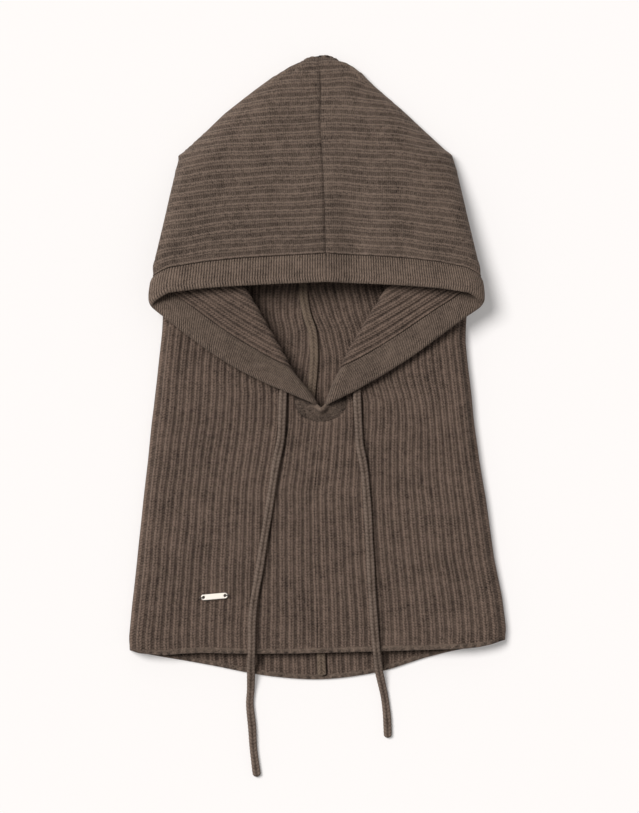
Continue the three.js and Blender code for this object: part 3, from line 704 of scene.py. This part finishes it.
def rolled(x, y):
    """Where a point of the front lies, given where it would lie with the lapel opened out."""
    across = across_roll(x, y)
    s = along_roll(x, y)
    radius = roll_radius(s)
    angle = np.clip(across / radius, 0, np.pi)
    over = np.maximum(0, across - np.pi * radius)
    out = radius * np.sin(angle) - over
    foot_x, foot_y = roll_point(s)
    to_x, to_y = foot_x + ROLL_ACROSS[0] * out, foot_y + ROLL_ACROSS[1] * out
    arc = front_height(foot_x, foot_y) + radius * (1 - np.cos(angle))
    turned = np.stack([to_x, to_y, np.where(over > 0, lapel_height(to_x, to_y), arc)], 1)
    return np.where((across <= 0)[:, None], flat_front(x, y), turned)


def roll_at(x_at, angle, like):
    """Height where each line of the opened-out lapel reaches an angle of the roll."""
    return solve(
        like * 0.0,
        like * 0.0 + LENGTH,
        lambda y: across_roll(x_at(y), y) - angle * roll_radius(along_roll(x_at(y), y)),
    )


def outline_at(x_at, low, inset=0):
    """Height where each such line comes within inset of the outline of the hood."""

    def beyond(y):
        to = rolled(x_at(y), y)
        return -to[:, 0] - (hood_half(to[:, 1]) - CREST - inset)

    return solve(low, low * 0.0 + LENGTH, beyond)


def front_panel():
    mesh = new_mesh()
    columns = HALF_RIBS * SAMPLES
    lower_rows, neck_rows, roll_rows, lapel_rows = 52, 26, 14, 40

    def chin_share(half_rib):
        return (half_rib - BAND_RIB) / (HALF_RIBS - BAND_RIB)

    def share_of(half_rib):
        at_chin = lerp(BAND_SHARE, 1, chin_share(half_rib))
        return np.where(half_rib <= BAND_RIB, half_rib / BAND_RIB * BAND_SHARE, at_chin)

    def lower(side):
        def place(i, j):
            half_rib = i / SAMPLES
            share = share_of(half_rib)
            top = NECK_LINE - CHIN_DROP * rounding(chin_share(half_rib), 1)
            bottom = front_hem((share - 1) * side)
            y = lerp(bottom, top, j / lower_rows)
            x = -(neck_half(y) - CREST) * (1 - share)
            return ribbed(flat_front, x, y, half_rib / 2, y - bottom, side)

        return place

    def ribbed(surface, x, y, u, from_hem, side, inner=0.0):
        """Points of a surface with their ribs. inner is 0.5 where its other face shows."""
        edge = 0.12 + 0.88 * smoothstep(from_hem, HEM_STRIP * 0.7, HEM_STRIP * 1.6)
        seed = 21 if side > 0 else 22
        rise = rib_relief(u, y, seed, edge)
        wobble = 0.4 * drift(u * 7, y, 50, seed + 2) * smoothstep(u, 0, 2)
        points = surface(x, y) + square_to(surface, x, y) * rise[:, None]
        points[:, 0] += wobble * (1 - smoothstep(u, 19, 21))
        points[:, 2] += 0.7 * drift(x, y, 120, seed + 4) * smoothstep(u, 1, 3)
        return mirrored(points, side), (u + inner, y)

    def line_of(i):
        return lambda y: opened_x(share_of(i / SAMPLES), y)

    def neck(side):
        def place(i, j):
            x_at = line_of(i)
            start = roll_at(x_at, 0, i)
            y = lerp(NECK_LINE, start, j / neck_rows)
            return ribbed(rolled, x_at(y), y, i / SAMPLES / 2, y, side)

        return place

    def lapel(side):
        def place(i, j):
            i = i + FIRST_FOLDED * SAMPLES
            x_at = line_of(i)
            over = roll_at(x_at, np.pi, i)
            top = outline_at(x_at, over, LAPEL_INSET)
            turn = np.minimum(j / roll_rows, 1)
            on_roll = roll_at(x_at, turn * np.pi, i)
            y = np.where(j <= roll_rows, on_roll, lerp(over, top, (j - roll_rows) / lapel_rows))
            return ribbed(rolled, x_at(y), y, i / SAMPLES / 2, y, side, inner=0.5)

        return place

    for side in (1, -1):
        add_grid(mesh, columns, lower_rows, lower(side))
        add_grid(mesh, BAND_RIB * SAMPLES, neck_rows, neck(side))
        folded = (BAND_RIB - FIRST_FOLDED) * SAMPLES
        add_grid(mesh, folded, roll_rows + lapel_rows, lapel(side))
    return finish_piece(
        "front_panel_knit", mesh, RIBBED_WOOL, ["front_panel"], wall=WALL,
        merge=0.05,
    )


# Crown
BAND_TOP_MIDDLE = BROW_HEIGHT + BAND_WIDTH
BAND_TOP_SIDE = CORNER_HEIGHT + BAND_WIDTH * 1.2  # it slants across a corner
INSIDE = HOOD_WIDTH / 2 - CREST


def brow_at(out, across):
    """Height of the band over the brow. across is 0 at its free edge, 1 where it is attached."""
    free = lerp(BROW_HEIGHT, CORNER_HEIGHT, read(BROW, out, 1))
    outer = lerp(BAND_TOP_MIDDLE, BAND_TOP_SIDE, read(BROW, out, 2))
    return lerp(free, outer, across)


def crown_surface(x, y):
    return np.stack([x, y, crown_height(x, y)], 1)


CORNER_OUT = 1  # the attached edge of the band turns that far outside the crown
CORNER_TURN = 0.08  # share of the width in which the band turns up at a corner
# How far the seam of the crown is bowed to the right: (height, reach)
CROWN_BOW = ((318, 8), (347, 8), (403, 6.5), (471, 3), (499, 0.4))
HOLLOW_DEPTH = 5.5
HOLLOW_PLACE = 21
HOLLOW_REACH = 13
CROWN_COLUMNS = 64  # from the seam to the side
CROWN_DROOP = 8  # how far the upper ribs hang down over the sides
SEAM_DRAWN_IN = 1.4
POINT_LOBE = 1.2  # height of the round lobe on each side of the seam, at the point


def hollow(x, y):
    """The crown sinks in to the right of its seam, over the brow."""
    return HOLLOW_DEPTH * hump(x, HOLLOW_PLACE, HOLLOW_REACH) * (1 - smoothstep(y, 355, 445))


def bowed(points):
    """Points of the crown and the brow, with the bow of the seam and the hollow beside it."""
    x, y, z = points.T
    inside = np.maximum(0, 1 - (x / np.maximum(hood_half(y), 20)) ** 2)
    return np.stack([x + read(CROWN_BOW, y) * inside, y, z - hollow(x, y)], 1)


def crown_half(name, side, band_edge):
    """band_edge is the attached edge of the band: rows of x, y and z, from the middle out."""
    rows = CROWN_HALF_RIBS * SAMPLES

    def edge_at(x, axis):
        return np.interp(x, band_edge[:, 0], band_edge[:, axis])

    def place(i, j):
        row = j / rows
        foot = lerp(BAND_TOP_MIDDLE, LENGTH - 0.6, row)
        dip = lerp(1, 0.7, row)
        droop = CROWN_DROOP * smoothstep(row, 0.3, 0.75)
        half = np.maximum(hood_half(foot), 12)
        # The lowest ribs follow the band: its bends, its corners and its height
        like_bends, like_corners, like_height = (
            1 - smoothstep(row, 0, reach) for reach in (0.16, 0.09, 0.03)
        )

        def line(x):
            below = BAND_TOP_MIDDLE - brow_at(np.minimum(1, x / INSIDE), 1)
            hook = BAND_TOP_MIDDLE - edge_at(x, 1) - below
            straight = foot - dip * below - hook * like_bends
            return straight - droop * np.minimum(x / half / 1.3, 1.2) ** 3.3

        def beyond(x):
            return x - np.maximum(0, hood_half(line(x)) - CREST)

        end = np.where(j == rows, 0, solve(foot * 0, foot * 0 + HOOD_WIDTH / 2, beyond))
        end = lerp(end, band_edge[-1, 0], like_corners)
        across = 1 - (1 - i / CROWN_COLUMNS) ** 1.6  # closer together at the side
        x = end * across
        u = row * CROWN_HALF_RIBS / 2
        y = line(x)
        seed = 31 if side < 0 else 32
        edge = lerp(0.2, 1, smoothstep(x, 0, 3)) * lerp(0.06, 1, smoothstep(end - x, 0, 12))
        rise = rib_relief(u, x, seed, edge, crest=0.14)
        points = crown_surface(-x, y) + square_to(crown_surface, -x, y) * rise[:, None]
        points[:, 2] = lerp(points[:, 2], edge_at(x, 2) + rise, like_height)
        inside = smoothstep(u, 0, 1) * smoothstep(end - x, 0, 12)
        points[:, 1] += 0.7 * drift(x, y, 60, seed + 2) * inside
        lobe = POINT_LOBE * smoothstep(row, 0.9, 1) * (1 - hump(x, 0, 3))
        points[:, 1] += lobe * hump(x, 0, 16)
        points[:, 2] -= SEAM_DRAWN_IN * hump(x, 0, 2.2)
        points[:, 2] += 0.9 * drift(x, y, 110, seed + 4) * inside
        return bowed(mirrored(points, -side)), (u, x + 300 * (side > 0))

    mesh = new_mesh()
    add_grid(mesh, CROWN_COLUMNS, rows, place)
    return finish_piece(
        name + "_knit", mesh, CROWN_WOOL, [name], wall=WALL, merge=0.05
    )


# Face band
CHIN_EDGE = 215.5  # place of the band's free edge, in the middle of the chin
# Section there, from the free edge down: (across, share of the way to the edge, height)
CHIN_SECTION = (
    (0, 1, 9.6), (0.12, 1.07, 8), (0.28, 1, 4.8), (0.5, 0.78, 1.9), (0.75, 0.4, 0.3), (1, 0, 0),
)
CHIN_SHADE_SHIFT = 0.38  # shift of the stitch columns away from the free edge: round the chin it leaves the rim on a bright crest and puts painted shade below it
BAND_AROUND = 28  # faces round its section
BAND_COLUMN = 2  # width of one column of stitches
BROW_LIP = 6.5  # how far the free edge stands up over the brow
BROW_LIP_START = 0.12  # share of the width in which it rises, from a corner
BAND_JOIN = 10  # place of the join of the band, to the right of the crown's seam
JOIN_DEPTH = 0.9
# Points along half the band: chin, neck, roll, lapel and brow
CHIN_STEPS, NECK_STEPS, ROLL_STEPS, LAPEL_STEPS, BROW_STEPS = 13, 5, 14, 65, 56
FOLD_REACH = 7  # points on each side of the corner that are softened
SOFTENINGS = 12


def soften(rows, fold):
    """Rounds the fold of a band's lines: points near it move towards their neighbours."""
    first, last = fold - FOLD_REACH, fold + FOLD_REACH
    for _ in range(SOFTENINGS):
        near = slice(first, last + 1)
        before = rows[:, first - 1 : last]
        after = rows[:, first + 1 : last + 2]
        rows[:, near] = (rows[:, near] * 2 + before + after) / 4


def face_band():
    """Makes the band, and gives its attached edge over the brow for the crown to join."""
    chin_seam = NECK_LINE - CHIN_DROP
    lines = BAND_AROUND // 2 + 1
    across = (1 - np.cos(np.linspace(0, np.pi, lines))) / 2

    def opened_line(q):
        return lambda y: lapel_bow(y) - BAND_WIDTH * q

    def chin(q, t):
        middle = np.array([
            0,
            lerp(chin_seam, CHIN_EDGE, read(CHIN_SECTION, q)),
            float(front_height(0.0, chin_seam)) + read(CHIN_SECTION, q, 2),
        ])
        neck_line = np.array([float(NECK_LINE)])
        side = rolled(opened_line(q)(neck_line), neck_line)[0]
        turn = t * np.pi / 2
        share = lerp(t, np.sin(turn), 0.5)
        bow_x = BAND_WIDTH * (share - np.sin(turn))
        bow_y = CHIN_DROP * (1 - share - np.cos(turn))
        points = lerp(middle, side, share[:, None])
        return points + q * np.stack([bow_x, bow_y, t * 0], 1)

    rows = []
    for q in across:
        x_at = opened_line(q)
        one = np.zeros(1)
        flat = np.maximum(NECK_LINE, roll_at(x_at, 0, one))
        over = roll_at(x_at, np.pi, one)
        top = outline_at(x_at, over, -CORNER_OUT * q)
        turns = np.linspace(0, np.pi, ROLL_STEPS + 1)[1:]
        on_roll = np.maximum(flat + 0.02 + turns / np.pi, roll_at(x_at, turns, turns))
        heights = np.concatenate([
            np.linspace(NECK_LINE, flat[0] + 0.01, NECK_STEPS),
            on_roll,
            np.linspace(over[0], top[0], LAPEL_STEPS + 1)[1:],
        ])
        front = rolled(x_at(heights), heights)
        corner = front[-1]
        share = 1 - (np.arange(1, BROW_STEPS + 1) / BROW_STEPS) ** 1.15
        x = corner[0] * share
        straight = brow_at(np.minimum(1, -x / INSIDE), q)
        y = lerp(corner[1], straight, smoothstep(1 - share, 0, CORNER_TURN))
        brow = crown_surface(x, y)
        brow[:, 2] += BROW_LIP * (1 - q) ** 2 * smoothstep(1 - share, 0, BROW_LIP_START)
        below_chin = np.linspace(0, 1, CHIN_STEPS + 1)[:-1]
        rows.append(np.concatenate([chin(q, below_chin), front, brow]))
    rows = np.array(rows)
    steps = rows.shape[1] - 1
    brow_start = len(heights) + CHIN_STEPS
    soften(rows, brow_start - 1)
    along = np.zeros(steps + 1)
    step_lengths = np.linalg.norm(np.diff(rows[lines // 2], axis=0), axis=1)
    # along stays still round the chin, so there the colour changes only across the band: a bright
    # rim with painted shade below it
    step_lengths[:CHIN_STEPS] = 0
    along[1:] = np.cumsum(step_lengths)
    tangent = np.gradient(rows, axis=1)
    breadth = np.gradient(rows, axis=0)
    normal = np.cross(tangent, breadth)
    normal /= np.maximum(np.linalg.norm(normal, axis=2, keepdims=True), 1e-9)
    normal[:, -1] = (0, 0, 1) * np.sign(normal[:, -2, 2:])
    normal[:, 0, 0] = 0
    normal[:, 0] /= np.linalg.norm(normal[:, 0], axis=1, keepdims=True)

    def half(side):
        def place(i, j):
            i, j = i.astype(int), j.astype(int)
            line = np.minimum(i, BAND_AROUND - i)
            turn = i / BAND_AROUND * 2 * np.pi
            # The free edge is thick and round, and the attached one thin
            half_wall = BAND_WALL / 2 * lerp(1.08, 0.55, smoothstep(across[line], 0.3, 1))
            rise = np.sign(np.sin(turn)) * np.abs(np.sin(turn)) ** 0.7 * half_wall
            points = mirrored(rows[line, j] + normal[line, j] * rise[:, None], side)
            on_brow = j >= brow_start
            joined = on_brow * hump(points[:, 0], BAND_JOIN, 1.1)
            points[:, 2] -= JOIN_DEPTH * joined * (np.sin(turn) > 0)
            points = np.where(on_brow[:, None], bowed(points), points)
            u = along[j] / BAND_COLUMN + 400 * (side < 0)
            # Shift of the columns away from the free edge: on the chin, a bright rim and painted
            # shade below it
            u = u + CHIN_SHADE_SHIFT * smoothstep(across[line], 0, 0.2)
            drawn = np.where(j < CHIN_STEPS, 0.1, 1)
            return points, (u, across[line] * BAND_WIDTH * drawn)

        return place

    mesh = new_mesh()
    for side in (1, -1):
        add_grid(mesh, BAND_AROUND, steps, half(side))
    piece = finish_piece(
        "face_band_knit", mesh, PLAIN_WOOL, ["face_band"], merge=0.05
    )
    edge = rows[-1, brow_start:] * (-1, 1, 1)
    return piece, edge[np.argsort(edge[:, 0])]


# Seam allowance down the inside of the back, overcast with yarn
SEAM_WIDTH = 7
SEAM_THICKNESS = 2.2
SEAM_AROUND = 20
SEAM_STITCH = 2.7
SEAM_SLANT = 0.35
SEAM_END_ROUND = 2


def back_seam():
    level = RIM_FOOT + SEAM_THICKNESS / 2 + 0.4
    line, length = smooth_route([(x, y, level) for y, x in SEAM_RUN], CORD_STEP)

    def section(turn, along):
        slanted = np.cos(2 * np.pi * (along / SEAM_STITCH + SEAM_SLANT * np.cos(turn)))
        taper = rounding(np.minimum(along, length - along), SEAM_END_ROUND)
        out = np.cos(turn) * SEAM_WIDTH / 2 * (1 + 0.05 * slanted) * taper
        rise = np.sin(turn) * (SEAM_THICKNESS / 2 + 0.25 * slanted * (np.sin(turn) > 0)) * taper
        return out, rise, (turn / np.pi * 2 + 0.5, along)

    mesh = new_mesh()
    add_tube(mesh, line, length, SEAM_AROUND, section)
    return finish_piece("back_seam_knit", mesh, SEAM_WOOL, ["back_seam"])


# Plain edge of each hem, which curls a little
HEM_EDGE = 4.4
HEM_EDGE_THICKNESS = 3.5
HEM_HANG = 0.8  # how far it hangs below the line of the hem
HEM_ROWS = 260
HEM_AROUND = 16
HEM_PULL = 2 * np.pi * HALF_RIBS / HEM_WIDTH  # each rib draws on it


def back_height(x, y):
    return y * 0 + CREST


def hem_edge(name, hem, height, lay):
    def place(i, j):
        out = 2 * j / HEM_ROWS - 1
        turn = i / HEM_AROUND * 2 * np.pi
        hem_y = hem(out)
        half = neck_half(hem_y) - CREST - 0.4
        x = out * half
        taper = np.sqrt(1 - np.abs(out) ** 24)  # only the last millimetres are rounded
        curl = 1 + 0.12 * drift(x, 0, 40, 61)
        y = hem_y + HEM_EDGE / 2 - HEM_HANG + np.cos(turn) * HEM_EDGE / 2 * taper
        z = height(x, hem_y + 2) + np.sin(turn) * HEM_EDGE_THICKNESS / 2 * taper * curl
        return np.stack([x, y, z], 1), (0.7 + 0.06 * np.cos(x * HEM_PULL), turn)

    mesh = new_mesh()
    add_grid(mesh, HEM_AROUND, HEM_ROWS, place, lay)
    return finish_piece(name, mesh, PLAIN_WOOL, [])


back = back_panel()
front = front_panel()
band, band_edge = face_band()
crowns = [crown_half("crown_left", -1, band_edge), crown_half("crown_right", 1, band_edge)]
seam = back_seam()
front_edge = hem_edge("front_hem_knit", front_hem, front_height, settle)
back_edge = hem_edge("back_hem_knit", back_hem, back_height, settle_back)


# Metal bar on the front, held by a stitch through a hole at each end
BAR_LENGTH = 21.5
BAR_WIDTH = 4.6
BAR_THICKNESS = 1.2
BAR_HOLE_RADIUS = 1.15
BAR_HOLE = BAR_LENGTH / 2 - 2.1
BAR_TURN = math.radians(5)
BAR_EDGE = 0.28
BAR_AROUND = 48
THREAD_RADIUS = 0.45
THREAD_AROUND = 20
THREAD_STEP = 0.14
THREAD_TWIST = 3  # length in which its two strands go once round
THREAD_ROOM = 0.3  # between the thread and the bar
THREAD_FOOT = -0.5  # how deep it goes into the knitting
bar_low, bar_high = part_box("metal_bar")
BAR_MIDDLE = ((bar_low[0] + bar_high[0]) / 2, (bar_low[1] + bar_high[1]) / 2, bar_low[2])


def varied(name, base, metallic, rough, rough_spread, grain, bump, **shader):
    """A finish whose roughness and surface vary over a grain in millimetres."""
    material, tree, surface = new_material(
        name, Base_Color=linear(base), Metallic=metallic, **shader
    )
    place = add(tree, "ShaderNodeTexCoord").outputs["Object"]
    noise = add(
        tree, "ShaderNodeTexNoise", {}, {"Vector": place, "Scale": 1 / (grain * MM), "Detail": 3.0}
    ).outputs["Fac"]
    spread = {"Value": noise, "To Min": rough - rough_spread, "To Max": rough + rough_spread}
    roughness = add(tree, "ShaderNodeMapRange", {}, spread).outputs[0]
    tree.links.new(roughness, surface.inputs["Roughness"])
    raised = add(
        tree, "ShaderNodeBump", {}, {"Strength": 0.5, "Distance": bump * MM, "Height": noise}
    )
    tree.links.new(raised.outputs[0], surface.inputs["Normal"])
    return material


# Nickel plate, polished by hand: bright, its reflections a little broken by wear
NICKEL = varied("polished_nickel", "#FCF5EB", 1.0, 0.5, 0.14, 1.6, 0.08)
# Sewing thread in the yarn's colour: two strands twisted together, with fine fuzz
THREAD = varied("sewing_thread", "#54473F", 0.0, 0.8, 0.1, 0.25, 0.1, Sheen_Weight=0.3)


def on_bar(x, y, z):
    """A place on the bar as metres, from its middle and its underside."""
    cos, sin = math.cos(BAR_TURN), math.sin(BAR_TURN)
    turned = (x * cos - y * sin, x * sin + y * cos, z)
    return [middle + part * MM for middle, part in zip(BAR_MIDDLE, turned)]


def metal_bar():
    mesh = new_mesh()
    reach = (BAR_LENGTH - BAR_WIDTH) / 2
    turns = np.linspace(0, 2 * np.pi, BAR_AROUND, endpoint=False) + np.pi / BAR_AROUND

    def circle(radius, middle):
        return [(m + np.cos(t) * radius, np.sin(t) * radius) for t, m in zip(turns, middle)]

    ends = np.where(np.cos(turns) > 0, reach, -reach)
    holes = [circle(BAR_HOLE_RADIUS, turns * 0 + hole) for hole in (-BAR_HOLE, BAR_HOLE)]
    for ring in [circle(BAR_WIDTH / 2, ends)] + holes:
        corners = [mesh.verts.new(on_bar(x, y, 0)) for x, y in ring]
        for a, b in zip(corners, corners[1:] + corners[:1]):
            mesh.edges.new((a, b))
    bmesh.ops.triangle_fill(mesh, use_beauty=True, edges=mesh.edges[:])
    raised = bmesh.ops.extrude_face_region(mesh, geom=mesh.faces[:])["geom"]
    top = [part for part in raised if isinstance(part, bmesh.types.BMVert)]
    bmesh.ops.translate(mesh, vec=(0, 0, BAR_THICKNESS * MM), verts=top)
    bmesh.ops.recalc_face_normals(mesh, faces=mesh.faces)
    sharp = [edge for edge in mesh.edges if edge.calc_face_angle(0) > 1]
    bmesh.ops.bevel(
        mesh, geom=sharp, offset=BAR_EDGE * MM, offset_type="OFFSET", segments=3, profile=0.5,
        affect="EDGES", material=-1,
    )
    return finish_piece(
        "metal_bar_polished", mesh, NICKEL, ["metal_bar"], merge=0.001, smooth=False
    )


def bar_stitch(name, side):
    """Thread that comes up through a hole of the bar and goes down past its end."""
    outside = BAR_LENGTH / 2 + THREAD_RADIUS + THREAD_ROOM
    over = BAR_THICKNESS + THREAD_RADIUS + THREAD_ROOM
    route = [
        (side * BAR_HOLE, THREAD_FOOT), (side * BAR_HOLE, BAR_THICKNESS),
        (side * (BAR_HOLE + outside) / 2, over + THREAD_RADIUS), (side * outside, BAR_THICKNESS),
        (side * outside, THREAD_FOOT),
    ]
    local = [np.array(on_bar(x, 0, z)) / MM + (0, HEM_TO_MIDDLE, 0) for x, z in route]
    line, length = smooth_route(local, THREAD_STEP)

    def section(turn, along):
        twisted = turn - 2 * np.pi * along / THREAD_TWIST
        ply = THREAD_RADIUS * (0.8 + 0.2 * np.abs(np.cos(twisted)))
        return np.cos(turn) * ply, np.sin(turn) * ply, (turn / np.pi, along)

    mesh = new_mesh()
    across = (-math.sin(BAR_TURN), math.cos(BAR_TURN), 0)
    add_tube(mesh, line, length, THREAD_AROUND, section, across=across)
    return finish_piece(name + "_twist", mesh, THREAD, [name])


metal_bar()
bar_stitch("bar_stitch_left", -1)
bar_stitch("bar_stitch_right", 1)

# White acrylic table, matt and lit a little from below, so that shadows on it stay pale
TABLE = varied(
    "white_acrylic", "#E7E4E3", 0.0, 0.7, 0.05, 4, 0.0, Specular_IOR_Level=0.2,
    Emission_Color=(1, 0.985, 0.97, 1), Emission_Strength=0.2,
)
table_mesh = bmesh.new()
bmesh.ops.create_grid(table_mesh, x_segments=1, y_segments=1, size=4)
table_data = bpy.data.meshes.new("table")
table_mesh.to_mesh(table_data)
table_mesh.free()
table_data.materials.append(TABLE)
table = bpy.data.objects.new("table", table_data)
bpy.context.scene.collection.objects.link(table)

# Light: a broad softbox high up to the left of the hood's point, and a dim room
SOFTBOX_BREADTH = math.radians(30)
SOFTBOX_STRENGTH = 2.85
ROOM_STRENGTH = 0.25
WARM_WHITE = (1, 0.99, 0.98)
bpy.context.scene.view_settings.view_transform = "Standard"
world = bpy.data.worlds.new("room")
world.use_nodes = True
room = world.node_tree.nodes["Background"].inputs
room["Color"].default_value = (*WARM_WHITE, 1)
room["Strength"].default_value = ROOM_STRENGTH
bpy.context.scene.world = world
softbox_data = bpy.data.lights.new("softbox", "SUN")
softbox_data.angle = SOFTBOX_BREADTH
softbox_data.energy = SOFTBOX_STRENGTH
softbox_data.color = WARM_WHITE
softbox = bpy.data.objects.new("softbox", softbox_data)
softbox.location = (-1.1, 0.8, 2)
softbox.rotation_euler = (-Vector(softbox.location)).to_track_quat("-Z", "Y").to_euler()
bpy.context.scene.collection.objects.link(softbox)
